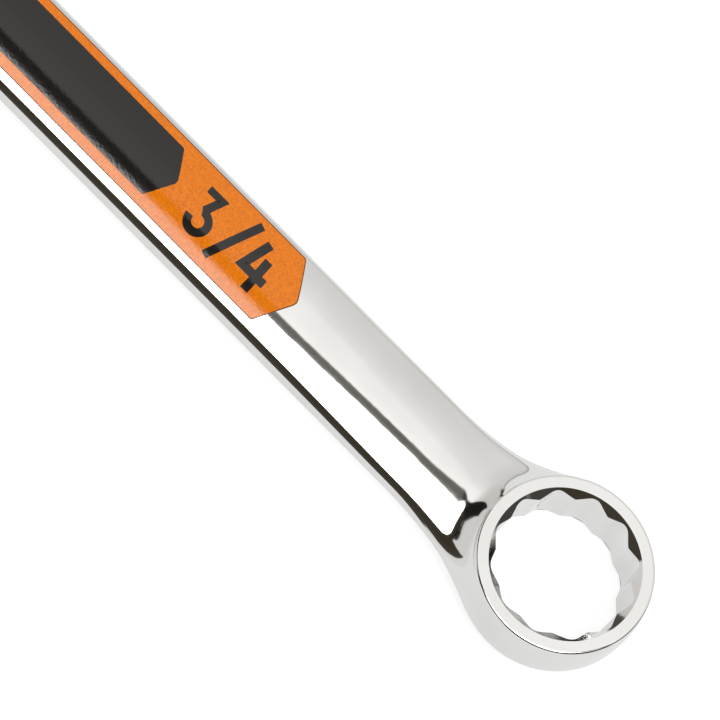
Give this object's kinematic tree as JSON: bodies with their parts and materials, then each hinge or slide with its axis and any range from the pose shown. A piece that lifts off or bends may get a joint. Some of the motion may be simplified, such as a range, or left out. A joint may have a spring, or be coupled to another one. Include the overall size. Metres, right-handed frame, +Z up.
{
  "type": "combination wrench",
  "caption": "Polished chrome combination wrench for a 3/4 inch nut, with a twelve-point box end, an angled open end and a printed size label along the shank.",
  "frame": {"origin": "centre of the box end's opening, half way through the ring", "axes": "+X along the shank towards the tip of the box end, +Y across the shank, +Z up on the label side, square to the shank"},
  "size_m": [0.2771, 0.0404, 0.013],
  "materials": {
    "polished_chrome": "mirror-polished chrome plate on forged alloy steel",
    "label_orange": "orange printed film under a clear gloss laminate",
    "label_charcoal": "charcoal print under a clear gloss laminate"
  },
  "bodies": {
    "root": {"forged_body": "polished_chrome", "label_film": "label_orange", "label_panel": "label_charcoal"}
  },
  "joints": []
}
